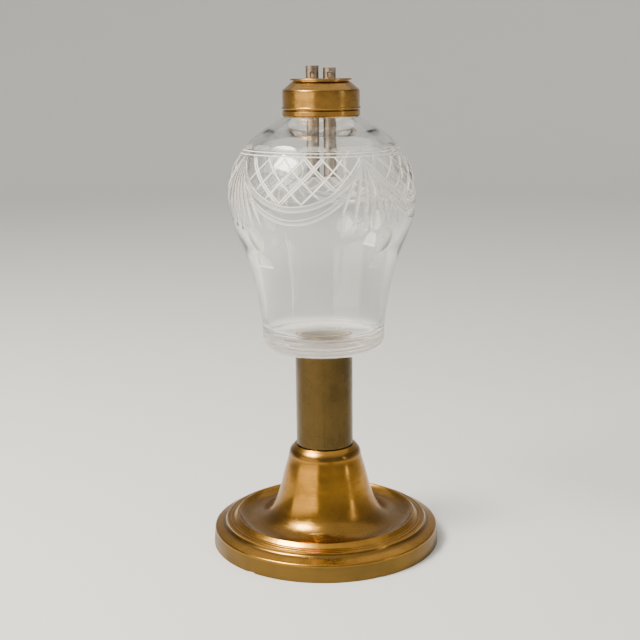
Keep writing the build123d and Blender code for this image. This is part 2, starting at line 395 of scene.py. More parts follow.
def noise(tree, vector, scale, detail=3.0, rough=0.55, low=0.35, high=0.65, w=None):
    # noise stretched so that low gives 0 and high gives 1
    inputs = {"Vector": vector, "Scale": scale, "Detail": detail, "Roughness": rough}
    if w is not None:
        inputs["W"] = w
    item = add(tree, "TexNoise", inputs, noise_dimensions="4D" if w is not None else "3D")
    return stretched(tree, item.outputs[0], low, high)


def blendTones(tree, amount, a, b):
    # tone a at amount 0, tone b at amount 1
    item = add(tree, "Mix", data_type="RGBA")
    for socket, value in ((item.inputs[0], amount), (item.inputs[6], a), (item.inputs[7], b)):
        if isinstance(value, bpy.types.NodeSocket):
            tree.links.new(value, socket)
        else:
            socket.default_value = (*value, 1) if isinstance(value, tuple) else value
    return item.outputs[2]


def tint(tree, tone, mask, share, second):
    # the second tone laid over the first, by the mask times a share
    return blendTones(tree, times(tree, mask, share), tone, second)


def bump(tree, height, distance, strength=1.0, under=None):
    # a relief of distance mm, on top of another relief if there is one
    inputs = {"Height": height, "Distance": distance * mm, "Strength": strength}
    if under is not None:
        inputs["Normal"] = under
    return add(tree, "Bump", inputs).outputs[0]


def paperMaterial():
    # pale paper, darker high up at the left and right so that the glass keeps dark edges
    material, tree, shader = startMaterial("studioPaper")
    place = add(tree, "SeparateXYZ", {0: add(tree, "TexCoord").outputs["Object"]}).outputs
    s = studioLook
    aside = stretched(tree, maths(tree, "ABSOLUTE", place[0]), s["sideFrom"], s["sideTo"])
    above = stretched(tree, place[2], s["sideLow"], s["sideHigh"])
    feed(tree, shader, Base_Color=tint(tree, s["paperTone"], aside, above, s["sideTone"]))
    setValues(shader, Roughness=s["rough"])
    return material


makeStudio()
print("studio set")


def brassMaterial(name, look):
    # golden metal: broad brown patina, fine brushed rings or streaks, small spots, painted shade in the
    # turned lines that also stands for grime there, and a dull band up to the height dullBelow
    material, tree, shader = startMaterial(name)
    point = millimetres(tree)
    if look["grain"] == "rings":
        fine, w = ringPoint(tree, point, look["around"])
    else:
        drawn = add(tree, "VectorMath", {0: point, 1: (1, 1, look["around"])}, operation="MULTIPLY")
        fine, w = drawn.outputs[0], None
    broad = noise(tree, point, look["patchScale"], detail=4.0, rough=0.6, low=0.38, high=0.66)
    bands = noise(tree, fine, look["bandScale"], detail=4.0, rough=0.6, low=0.35, high=0.68, w=w)
    lines = noise(tree, fine, look["lineScale"], detail=3.0, rough=0.7, low=0.25, high=0.75, w=w)
    spots = noise(tree, point, look["spotScale"], detail=5.0, rough=0.7, low=0.60, high=0.74)
    tone = tint(tree, look["tone"], broad, look["patina"], look["dark"])
    tone = tint(tree, tone, bands, look["bandShare"], look["warm"])
    tone = tint(tree, tone, spots, look["spots"], look["stainAndShadeTone"])
    # painted shade: the turned grooves darken with their depth, standing also for grime gathered in them
    if look["hollow"]:
        grooveShadeMask = add(tree, "Attribute", attribute_name="hollow").outputs["Fac"]
        grooveShadeMask = stretched(tree, grooveShadeMask, look["hollowFrom"], look["hollowTo"])
        tone = tint(tree, tone, grooveShadeMask, look["hollow"], look["stainAndShadeTone"])
    rough = plus(tree, look["rough"], times(tree, bands, look["roughSwing"]))
    rough = plus(tree, rough, times(tree, broad, look["roughSwing"]))
    if look["dullBelow"]:
        height = add(tree, "SeparateXYZ", {0: point}).outputs[2]
        dullRim = stretched(tree, height, look["dullBelow"], look["dullBelow"] - look["dullFade"])
        tone = tint(tree, tone, dullRim, look["dullShare"], look["dullTone"])
        rough = plus(tree, rough, times(tree, dullRim, look["dullRough"]))
    rough = plus(tree, rough, times(tree, spots, look["spotRough"]), True)
    normal = bump(tree, lines, look["lineDepth"])
    waves = noise(tree, point, look["waveScale"], detail=2.0, rough=0.5, low=0.2, high=0.8)
    normal = bump(tree, waves, look["waveDepth"], 1.0, normal)
    feed(tree, shader, Base_Color=tone, Roughness=rough, Normal=normal)
    setValues(shader, Metallic=1.0)
    return material


footBrass = {"grain": "rings", "around": 0.06, "patchScale": 0.05, "bandScale": 0.9, "lineScale": 3.2,
             "spotScale": 0.9, "patina": 0.7, "bandShare": 0.45, "spots": 0.5, "spotRough": 0.18,
             "hollow": 0.6, "hollowFrom": 0.012, "hollowTo": 0.16, "rough": 0.13, "roughSwing": 0.09,
             "lineDepth": 0.008, "waveScale": 0.09, "waveDepth": 0.12, "tone": (0.46, 0.23, 0.034),
             # the dark spot tone colours both the small stains and the painted shade in the turned grooves
             "warm": (0.34, 0.155, 0.021), "dark": (0.20, 0.105, 0.022), "stainAndShadeTone": (0.07, 0.045, 0.02),
             "dullBelow": 7.2, "dullFade": 0.8, "dullShare": 0.75, "dullRough": 0.16,
             "dullTone": (0.08, 0.062, 0.023)}
stemBrass = dict(footBrass, grain="streaks", dullBelow=0, around=0.05, patchScale=0.07, lineScale=2.4,
                 bandScale=0.5, hollow=0, tone=(0.102, 0.066, 0.021), warm=(0.08, 0.048, 0.015),
                 dark=(0.05, 0.037, 0.015), patina=0.6, rough=0.16, spots=0.6)
collarBrass = dict(footBrass, dullBelow=0, patchScale=0.12, tone=(0.47, 0.25, 0.055),
                   warm=(0.34, 0.165, 0.035), dark=(0.16, 0.10, 0.032), rough=0.14, hollow=0.8,
                   lineDepth=0.006, waveDepth=0.03)


def edgedMaterial(name, look):
    # a plain finish with two noises: patches of a second tone, and a fine grain in tone, gloss and height
    material, tree, shader = startMaterial(name)
    point = millimetres(tree)
    drawn = add(tree, "VectorMath", {0: point, 1: look["stretch"]}, operation="MULTIPLY")
    patches = noise(tree, point, look["patchScale"], detail=4.0, rough=0.6, low=0.4, high=0.65)
    grain = noise(tree, drawn.outputs[0], look["grainScale"], detail=4.0, rough=0.65, low=0.3, high=0.7)
    tone = tint(tree, look["tone"], patches, look["patchAmount"], look["second"])
    tone = tint(tree, tone, grain, look["grainAmount"], look["third"])
    rough = plus(tree, look["rough"], times(tree, patches, look["roughSwing"]))
    rough = plus(tree, rough, times(tree, grain, look["roughSwing"]), True)
    feed(tree, shader, Base_Color=tone, Roughness=rough, Normal=bump(tree, grain, look["grainDepth"]))
    setValues(shader, Metallic=look["metal"])
    return material


tinned = {"patchScale": 0.35, "grainScale": 1.6, "stretch": (1, 1, 0.15), "patchAmount": 0.75,
          "grainAmount": 0.35, "tone": (0.37, 0.32, 0.26), "second": (0.10, 0.075, 0.06),
          "third": (0.20, 0.155, 0.12), "rough": 0.24, "roughSwing": 0.14, "grainDepth": 0.02, "metal": 1.0}
solderLook = dict(tinned, patchScale=0.6, tone=(0.58, 0.57, 0.56), second=(0.30, 0.29, 0.27), rough=0.35,
                  stretch=(1, 1, 1), grainDepth=0.05)
ironLook = {"patchScale": 0.3, "grainScale": 2.0, "stretch": (1, 1, 1), "patchAmount": 0.6,
            "grainAmount": 0.4, "tone": (0.20, 0.19, 0.18), "second": (0.22, 0.11, 0.06),
            "third": (0.11, 0.10, 0.10), "rough": 0.45, "roughSwing": 0.15, "grainDepth": 0.05,
            "metal": 1.0}
plasterLook = {"patchScale": 0.4, "grainScale": 3.0, "stretch": (1, 1, 1), "patchAmount": 0.5,
               "grainAmount": 0.3, "tone": (0.72, 0.68, 0.60), "second": (0.52, 0.46, 0.38),
               "third": (0.40, 0.36, 0.30), "rough": 0.8, "roughSwing": 0.1, "grainDepth": 0.08,
               "metal": 0.0}
pegPlasterLook = dict(plasterLook, tone=(0.33, 0.26, 0.15), second=(0.20, 0.15, 0.085),
                      third=(0.42, 0.34, 0.22))
leatherLook = dict(plasterLook, patchScale=0.3, grainScale=2.2, tone=(0.23, 0.12, 0.06),
                   second=(0.12, 0.06, 0.03), third=(0.33, 0.19, 0.10), rough=0.6, grainDepth=0.12)
cottonLook = dict(plasterLook, patchScale=0.5, grainScale=5.0, tone=(0.33, 0.24, 0.15),
                  second=(0.13, 0.08, 0.045), third=(0.46, 0.37, 0.26), patchAmount=0.8, rough=0.85,
                  grainDepth=0.06)

brassFoot = brassMaterial("brassFoot", footBrass)
brassStem = brassMaterial("brassStem", stemBrass)
brassCollar = brassMaterial("brassCollar", collarBrass)
brassDisc = brassMaterial("brassDisc", dict(collarBrass, hollow=0, dark=(0.30, 0.19, 0.09), patina=0.8))
tinnedMetal = edgedMaterial("tinnedMetal", tinned)
softSolder = edgedMaterial("softSolder", solderLook)
darkIron = edgedMaterial("darkIron", ironLook)
oldPlaster = edgedMaterial("oldPlaster", plasterLook)
pegPlaster = edgedMaterial("pegPlaster", pegPlasterLook)
oiledLeather = edgedMaterial("oiledLeather", leatherLook)
cottonYarn = edgedMaterial("cottonYarn", cottonLook)
print("metal and fibre finishes ready")


def glassMaterial(name, look):
    # glass: a touch of waviness, a fine grit where the wheel cut it; light for shadows passes straight
    # through so the inside stays lit
    material, tree, shader = startMaterial(name)
    point = millimetres(tree)
    wave = noise(tree, point, look["waveScale"], detail=2.0, rough=0.5, low=0.2, high=0.8)
    normal = bump(tree, wave, look["waveDepth"])
    if look["grit"]:
        grit = noise(tree, point, look["gritScale"], detail=4.0, rough=0.7, low=0.3, high=0.7)
        tone = tint(tree, look["tone"], grit, look["gritShare"], look["second"])
        normal = bump(tree, grit, look["grit"], 1.0, normal)
        rough = plus(tree, look["rough"], times(tree, grit, look["gritRough"]))
        feed(tree, shader, Base_Color=tone, Roughness=rough)
    else:
        setValues(shader, Base_Color=(*look["tone"], 1), Roughness=look["rough"])
    feed(tree, shader, Normal=normal)
    setValues(shader, Transmission_Weight=look["clear"], IOR=look["ior"])
    output = next(n for n in tree.nodes if n.type == "OUTPUT_MATERIAL")
    through = add(tree, "BsdfTransparent", {"Color": (*look["shadow"], 1)})
    isShadow = add(tree, "LightPath").outputs["Is Shadow Ray"]
    mixed = add(tree, "MixShader", {0: isShadow, 1: shader.outputs[0], 2: through.outputs[0]})
    tree.links.new(mixed.outputs[0], output.inputs["Surface"])
    return material


clearGlassLook = {"waveScale": 0.05, "waveDepth": 0.06, "grit": 0, "gritScale": 3.0, "gritShare": 0.5,
                  "gritRough": 0.12, "tone": (0.985, 0.99, 0.985), "rough": 0.0, "clear": 1.0, "ior": 1.5,
                  "shadow": (0.93, 0.94, 0.93)}
satinCutLook = dict(clearGlassLook, grit=0.012, rough=0.22, clear=0.74, tone=(0.99, 0.97, 0.94),
                    second=(0.94, 0.91, 0.87), shadow=(0.80, 0.79, 0.77))
groundCutLook = dict(clearGlassLook, grit=0.02, rough=0.34, clear=0.4, tone=(0.97, 0.95, 0.91),
                     second=(0.88, 0.85, 0.80), shadow=(0.6, 0.6, 0.58))
# painted sheen: a tenth of pinkish white diffuse makes the base's thick edge look bright
baseSheenLook = dict(clearGlassLook, clear=0.90, rough=0.03, tone=(1.0, 0.96, 0.935))
polishedCutLook = dict(clearGlassLook, grit=0.006, rough=0.10, clear=0.88, tone=(0.99, 0.98, 0.96),
                       second=(0.96, 0.94, 0.91), shadow=(0.86, 0.86, 0.85))
clearGlass = glassMaterial("clearGlass", clearGlassLook)
baseSheenGlass = glassMaterial("baseSheenGlass", baseSheenLook)
satinCutGlass = glassMaterial("satinCutGlass", satinCutLook)
groundGlass = glassMaterial("groundGlass", groundCutLook)
polishedCutGlass = glassMaterial("polishedCutGlass", polishedCutLook)
print("glass finishes ready")


# The cut glass font. One quarter of its belt is laid out flat and cut, then carried round four times.
# Heights are in mm above the widest ring, azimuths in degrees from the front, turning towards +X.
fontLook = {"segments": 192, "quarter": 90.0, "left": -31.3, "unit": 40.0, "bandLow": -31.0,
            "bandHigh": 26.0, "sideLow": 45, "sideHigh": 30, "fadeLow": 8, "fadeHigh": 5, "meshStep": 1.8,
            "rowShare": 0.87, "clearShare": 0.62, "cutStep": 0.8, "soften": 0.35, "spacing": 0.9,
            "fineSpacing": 0.15, "wander": 0.25, "baseEdge": (-68.5, -60.0), "baseRadius": 20,
            "leastCut": 0.004, "weld": 0.004}
swagCentre, fanAzimuth = -17.0, 28.0
swagArcs = [  # lowest height, climb, half span, half width, depth, wheel
    (-2.2, 18.4, 44.0, 1.15, 0.24, "round"), (-1.0, 18.4, 44.0, 0.30, 0.16, "mitre"),
    (-7.7, 15.8, 37.3, 1.10, 0.22, "round"), (-6.55, 15.8, 37.3, 0.28, 0.15, "mitre"),
]
latticeDown = [  # turn from the swag's middle where the line crosses readAt, half width
    (-20.2, 0.30), (-18.2, 0.30), (-6.0, 0.36), (6.7, 0.36), (19.2, 0.30), (21.2, 0.30), (30.5, 0.34),
    (40.0, 0.3)]
latticeUp = [
    (-33.0, 0.30), (-21.0, 0.36), (-9.0, 0.42), (2.2, 0.36), (4.2, 0.34), (16.0, 0.36), (28.0, 0.30)]
latticeCut = {"readAt": 7.8, "degreesPerMm": 1.42, "top": 18.4, "slope": 0.55, "fewest": 12}
ringCuts = [(18.5, 0.23), (19.8, 0.22)]  # height, half width
cutEnds = {"swag": 0.06, "lattice": 0.08, "line": 0.15, "least": 0.12}
scallopCut = {"turns": (-33.75, -11.25, 11.25, 33.75), "low": 20.8, "high": 23.0, "halfWidth": 5.9,
              "depth": 0.30}
fanLeaves = [  # end azimuth and height, bow, widest half width
    (-17.0, -4.2, -1.6, 0.95), (-9.5, -7.6, -0.9, 1.05), (-2.5, -10.0, -0.3, 1.15), (4.0, -11.0, 0.0, 1.25),
    (10.5, -10.6, 0.4, 1.15), (16.5, -9.6, 1.0, 1.05), (23.0, -7.6, 1.6, 0.95),
]
fanCut = {"top": 16.4, "drop": 0.05, "startSpread": 0.22, "slope": 0.38, "widestAt": 0.66, "tip": 0.12}
ovalCut = {"turn": 15.0, "height": -16.0, "halfWidth": 4.5, "halfHeight": 5.7, "depth": 0.55,
           "rings": ((1, 32), (0.7, 22), (0.35, 12))}  # share of the size, points
halfOvalCut = {"turn": 15.5, "height": -27.5, "halfWidth": 4.4, "halfHeight": 6.1, "depth": 0.45,
               "rings": ((1, 20), (0.6, 12)), "edgePoints": 13, "flank": 0.3, "lineSpan": 9.5,
               "lineDrop": 0.35, "lineHalf": 0.32}

fontPoints, _ = seamProfile("font")
fontProfile = roundedProfile(fontPoints, False, fontLook["soften"], fontLook["spacing"])
fineProfile = roundedProfile(fontPoints, False, fontLook["soften"], fontLook["fineSpacing"])
widest = int(np.argmax(fineProfile[:, 0]))
widestHeight = fineProfile[widest, 1]
sideStart = np.flatnonzero(fineProfile[:widest, 1] < widestHeight - fontLook["sideLow"])[-1]
sideEnd = widest + np.flatnonzero(fineProfile[widest:, 1] > widestHeight + fontLook["sideHigh"])[0]
side = fineProfile[sideStart:sideEnd + 1]
sideLength = np.concatenate([[0], np.cumsum(np.hypot(*np.diff(side, axis=0).T))])
sideLength -= sideLength[widest - sideStart]
sideSlope = np.gradient(side, sideLength, axis=0)
degree = math.radians(1) * fontLook["unit"]


def lengthAt(height):
    # distance along the side from the widest ring to a height above it
    return np.interp(height + widestHeight, side[:, 1], sideLength)


def radiusAt(s):
    # radius of the side at a distance along it
    return np.interp(s, sideLength, side[:, 0])


def cutLine(azimuth, height, halfWidth, slope, wheel, kind, joined=False):
    # one cut: its middle line in the flat plane, half width along it, and the wheel's form;
    # a joined cut runs on round the font and does not narrow to a point at its ends
    line = np.stack([np.asarray(azimuth, float) * degree, lengthAt(np.asarray(height, float))], 1)
    gap = np.hypot(np.diff(line[:, 0]) * radiusAt(line[:-1, 1]) / fontLook["unit"], np.diff(line[:, 1]))
    along = np.concatenate([[0], np.cumsum(gap)])
    count = max(3, int(math.ceil(along[-1] / fontLook["cutStep"])) + 1)
    t = np.linspace(0, along[-1], count)
    line = np.stack([np.interp(t, along, line[:, 0]), np.interp(t, along, line[:, 1])], 1)
    half = np.interp(t, along, np.broadcast_to(halfWidth, along.shape))
    return {"shape": "line", "line": line, "half": half, "slope": slope, "wheel": wheel, "kind": kind,
            "joined": joined}


def ovalPatch(shape, azimuth, height, halfWidth, halfHeight, depth, kind):
    # a hollow ground by the wheel's face: a whole oval, or the upper half of one
    return {"shape": shape, "at": (azimuth, height), "size": (halfWidth, halfHeight), "depth": depth,
            "kind": kind}


def endTaper(count, share):
    # 1 along the cut, falling in a straight line to the least value over a share of its points at each end
    toEnd = np.minimum(np.arange(count), np.arange(count)[::-1])
    return np.clip(toEnd / (share * count), cutEnds["least"], 1)


def arcHeight(turn, low, climb, span):
    # a swag's height grows with the square of the turn from its middle
    return low + climb * (turn / span) ** 2


def quarterCuts():
    # all cuts of one quarter; kind 1 ground leaves and ovals, 2 satin lines, 4 polished arcs and scallops
    cuts = []
    for low, climb, span, half, depth, wheel in swagArcs:
        turn = np.linspace(-span - 0.5, span + 0.5, 61)
        cuts.append(cutLine(swagCentre + turn, arcHeight(turn, low, climb, span),
                            half * endTaper(61, cutEnds["swag"]), depth / half, wheel,
                            4 if wheel == "round" else 2))
    low, climb, span = swagArcs[1][:3]
    for family, sign in ((latticeDown, 1), (latticeUp, -1)):
        for turn, half in family:
            height = np.linspace(latticeCut["top"], low - 2, 200)
            azimuth = turn + sign * (latticeCut["readAt"] - height) * latticeCut["degreesPerMm"]
            inside = height > arcHeight(azimuth, low + 0.2, climb, span)
            if inside.sum() < latticeCut["fewest"]:
                continue
            taper = half * endTaper(inside.sum(), cutEnds["lattice"])
            cuts.append(cutLine(swagCentre + azimuth[inside], height[inside], taper, latticeCut["slope"],
                                "mitre", 2))
    for height, half in ringCuts:
        turn = np.linspace(-50, 50, 41)
        cuts.append(cutLine(swagCentre + turn, height + 0 * turn, half + 0 * turn, latticeCut["slope"],
                            "mitre", 2, True))
    f = fanCut
    for end, drop, bow, half in fanLeaves:
        t = np.linspace(0, 1, 41)
        spread = end * (f["startSpread"] + (1 - f["startSpread"]) * t)
        azimuth = fanAzimuth + spread + bow * np.sin(math.pi * t)
        height = f["top"] - f["drop"] * abs(end) + (drop - f["top"]) * t
        grow = np.sin(0.5 * math.pi * np.minimum(t / f["widestAt"], 1)) ** 1.5
        shrink = np.clip(np.cos(0.5 * math.pi * (t - f["widestAt"]) / (1 - f["widestAt"])), 0, 1) ** 0.8
        width = f["tip"] + (1 - f["tip"]) * np.where(t < f["widestAt"], grow, shrink)
        cuts.append(cutLine(azimuth, height, half * width, f["slope"], "mitre", 1))
    for shape, o in (("oval", ovalCut), ("half", halfOvalCut)):
        cuts.append(ovalPatch(shape, fanAzimuth + o["turn"], o["height"], o["halfWidth"], o["halfHeight"],
                              o["depth"], 1))
    h, s = halfOvalCut, scallopCut
    turn = np.linspace(-h["lineSpan"], h["lineSpan"], 15)
    cuts.append(cutLine(fanAzimuth + h["turn"] + turn, h["height"] - h["lineDrop"] + 0 * turn,
                        h["lineHalf"] * endTaper(15, cutEnds["line"]), latticeCut["slope"], "mitre", 2))
    for turn in s["turns"]:
        cuts.append(ovalPatch("half", swagCentre + turn, s["low"], s["halfWidth"], s["high"] - s["low"],
                              s["depth"], 4))
    return cuts


def offsetLine(cut, share):
    # the middle line moved sideways by a share of the half width, in the surface's own measure
    line, half = cut["line"], cut["half"] * share
    stretch = (radiusAt(line[:, 1]) / fontLook["unit"])[:, None] * (1, 0) + (0, 1)
    along = np.gradient(line, axis=0) * stretch
    along /= np.maximum(np.hypot(*along.T), 1e-9)[:, None]
    return line + np.stack([-along[:, 1], along[:, 0]], 1) * half[:, None] / stretch


def ovalRing(cut, share, count):
    # points of an oval, or of the upper half of one, at a share of its size
    u, s = cut["at"][0] * degree, lengthAt(cut["at"][1])
    stretch = radiusAt(s) / fontLook["unit"]
    if cut["shape"] == "oval":
        a = 2 * math.pi * np.arange(count) / count
    else:
        a = math.pi * np.arange(count + 1) / count
    width, height = cut["size"]
    return np.stack([u + share * width * np.cos(a) / stretch, s + share * height * np.sin(a)], 1)


def cutGuides(cut):
    # lines that the flat mesh has to follow: the middle, the borders, and one between on round cuts
    if cut["shape"] == "line":
        shares = (-1, 0, 1) if cut["wheel"] == "mitre" else (-1, -0.5, 0, 0.5, 1)
        guides = [offsetLine(cut, share) for share in shares]
        if not cut["joined"]:
            for guide in guides:
                guide[0], guide[-1] = cut["line"][0], cut["line"][-1]
        return guides
    if cut["shape"] == "oval":
        rings = [ovalRing(cut, share, count) for share, count in ovalCut["rings"]]
        return [np.vstack([ring, ring[:1]]) for ring in rings]
    outer, inner = [ovalRing(cut, share, count) for share, count in halfOvalCut["rings"]]
    edge = np.linspace(outer[-1], outer[0], halfOvalCut["edgePoints"])
    below = edge - (0, halfOvalCut["flank"])
    below[0], below[-1] = edge[0], edge[-1]
    return [outer, inner, edge, below]


def cutDepth(points, cuts):
    # depth of the deepest cut at each flat point, and the kind of that cut
    depth, kind = np.zeros(len(points)), np.zeros(len(points), int)
    stretch = radiusAt(points[:, 1]) / fontLook["unit"]
    for cut in cuts:
        if cut["shape"] == "line":
            line, half = cut["line"], cut["half"]
            reach = half.max() * 1.5 + 0.1
            near = np.flatnonzero(((points > line.min(0) - reach) & (points < line.max(0) + reach)).all(1))
            if not len(near):
                continue
            scale = np.stack([stretch[near], np.ones(len(near))], 1)[:, None, :]
            a, b = line[None, :-1] * scale, line[None, 1:] * scale
            p = points[near][:, None, :] * scale
            run = b - a
            t = np.clip(((p - a) * run).sum(-1) / np.maximum((run * run).sum(-1), 1e-12), 0, 1)
            away = np.sqrt((((a + t[..., None] * run) - p) ** 2).sum(-1))
            best = away.argmin(1)
            pick = np.arange(len(near))
            away, t = away[pick, best], t[pick, best]
            w = half[:-1][best] * (1 - t) + half[1:][best] * t
            share = np.clip(away / np.maximum(w, 1e-6), 0, 1)
            fall = 1 - share if cut["wheel"] == "mitre" else 1 - share ** 2
            here = cut["slope"] * w * fall
        else:
            u, s = cut["at"][0] * degree, lengthAt(cut["at"][1])
            width, height = cut["size"]
            beside, above = abs(points - (u, s)).T
            near = np.flatnonzero((beside < width * 1.6) & (above < height + 0.4))
            if not len(near):
                continue
            a = (points[near, 0] - u) * radiusAt(s) / fontLook["unit"] / width
            b = (points[near, 1] - s) / height
            here = cut["depth"] * np.clip(1 - a * a - b * b, 0, 1)
            if cut["shape"] == "half":
                wall = np.clip(1 + b * height / halfOvalCut["flank"], 0, 1)
                flank = cut["depth"] * np.clip(1 - a * a, 0, 1) * wall
                here = np.where(b < 0, flank, here)
        deeper = here > depth[near] + 1e-9
        depth[near[deeper]] = here[deeper]
        kind[near[deeper]] = cut["kind"]
    return depth, kind


def shifted(cut, turn):
    # the same cut, a turn in degrees further round
    copy = dict(cut)
    if cut["shape"] == "line":
        copy["line"] = cut["line"] + (turn * degree, 0)
    else:
        copy["at"] = (cut["at"][0] + turn, cut["at"][1])
    return copy


def cutQuarter():
    # a flat mesh of one quarter whose edges follow every cut
    f = fontLook
    cuts = [shifted(cut, turn) for cut in quarterCuts() for turn in (-f["quarter"], 0, f["quarter"])]
    uLeft, uRight = f["left"] * degree, (f["left"] + f["quarter"]) * degree
    sLow, sHigh = lengthAt(f["bandLow"]), lengthAt(f["bandHigh"])
    guides, kept = [], []
    for cut in cuts:
        lines = cutGuides(cut)
        spread = np.vstack(lines)
        if spread[:, 0].max() > uLeft - 1 and spread[:, 0].min() < uRight + 1:
            kept.append(cut)
            guides += lines
    across = np.linspace(uLeft, uRight, f["segments"] // 4 + 1)
    up = np.linspace(sLow, sHigh, int((sHigh - sLow) / f["meshStep"]) + 1)
    frameLines = [np.stack([across, 0 * across + s], 1) for s in (sLow, sHigh)]
    frameLines += [np.stack([0 * up + u, up], 1) for u in (uLeft, uRight)]
    lines = guides + frameLines
    points = np.vstack(lines)
    starts = np.cumsum([0] + [len(line) for line in lines])
    edges = np.vstack([np.stack([np.arange(a, b - 1), np.arange(a + 1, b)], 1)
                       for a, b in zip(starts[:-1], starts[1:])])
    fill = []
    step = f["meshStep"]
    rows = np.arange(sLow + step, sHigh - step * 0.5, step * f["rowShare"])
    for i, s in enumerate(rows.tolist()):
        u = np.arange(uLeft + step * (0.55 + 0.5 * (i % 2)), uRight - step * 0.5, step)
        fill.append(np.stack([u, 0 * u + s], 1))
    fill = np.vstack(fill)
    clear = np.ones(len(fill), bool)
    for block in np.array_split(points, 20):
        clear &= (((fill[:, None, :] - block[None]) ** 2).sum(-1) > (f["clearShare"] * step) ** 2).all(1)
    everything = np.vstack([points, fill[clear]])
    result = delaunay_2d_cdt([Vector(p) for p in everything.tolist()], [tuple(e) for e in edges.tolist()],
                             [], 0, 1e-5, False)
    flat = np.array([tuple(p) for p in result[0]])
    triangles = np.array([list(t) for t in result[2]], np.int64)
    middle = flat[triangles].mean(1)
    inside = (middle > (uLeft, sLow)) & (middle < (uRight, sHigh))
    triangles = triangles[inside.all(1)]
    corner = flat[triangles]
    area = np.cross(corner[:, 1] - corner[:, 0], corner[:, 2] - corner[:, 0])
    triangles[area < 0] = triangles[area < 0][:, ::-1]
    triangles = triangles[abs(area) > 1e-9]
    used, triangles = np.unique(triangles, return_inverse=True)
    flat, triangles = flat[used], triangles.reshape(-1, 3)
    return flat, triangles, kept, (uLeft, uRight, sLow, sHigh)


def bodySurface(u, s, turn):
    # flat point to the font's side: angle from u, radius and height from the length s, with a small wander
    # that fades at the belt's edges; also the outward, sideways and upward directions there
    look = fontLook
    window = np.clip((s - lengthAt(look["bandLow"])) / look["fadeLow"], 0, 1)
    window *= np.clip((lengthAt(look["bandHigh"]) - s) / look["fadeHigh"], 0, 1)
    a = np.radians(turn) + u / look["unit"]
    s = s + look["wander"] * window * np.sin(3 * a + 0.7) * np.cos(s / 9)
    a = a + look["wander"] * window * (np.sin(5 * a + 1.3) + np.sin(2 * a)) / look["unit"]
    r = radiusAt(s)
    z = np.interp(s, sideLength, side[:, 1])
    slopeR = np.interp(s, sideLength, sideSlope[:, 0])
    slopeZ = np.interp(s, sideLength, sideSlope[:, 1])
    size = np.hypot(slopeR, slopeZ)
    nr, nz = slopeZ / size, -slopeR / size
    outward = around(nr, a, nz)
    sideways = np.stack([np.cos(a), np.sin(a), 0 * a], -1)
    return around(r, a, z), outward, sideways, np.cross(outward, sideways)


def turnedEnds(first, sLow, sHigh):
    # the rest of the font is turned: foot and peg below the belt, shoulder, neck and inside above it;
    # gives the points, numbered from first, the faces, and the rings that meet the belt
    look = fontLook
    segments = look["segments"]
    top = int(np.argmax(fontProfile[:, 0]))
    low = np.flatnonzero(fontProfile[:top, 1] < widestHeight + look["bandLow"])[-1]
    high = top + np.flatnonzero(fontProfile[top:, 1] > widestHeight + look["bandHigh"])[0]
    joinLow = [radiusAt(sLow), widestHeight + look["bandLow"]]
    joinHigh = [radiusAt(sHigh), widestHeight + look["bandHigh"]]
    a = math.radians(look["left"]) + 2 * math.pi * np.arange(segments) / segments
    blocks, fans, quads, rims = [], [], [], []
    for part, firstPole in ((np.vstack([fontProfile[:low + 1], joinLow]), True),
                            (np.vstack([joinHigh, fontProfile[high:]]), False)):
        rings = around(part[:, :1], a, part[:, 1:])
        if firstPole:
            block = np.vstack([rings[0, :1], rings[1:].reshape(-1, 3)])
        else:
            block = np.vstack([rings[:-1].reshape(-1, 3), rings[-1, :1]])
        made, _ = turnedFaces(len(part), segments, False, firstPole, not firstPole, first)
        fans.append(made[0])
        quads.append(made[1])
        rims.append(np.arange(segments) + first + (len(block) - segments if firstPole else 0))
        blocks.append(block)
        first += len(block)
    return blocks, fans, quads, rims


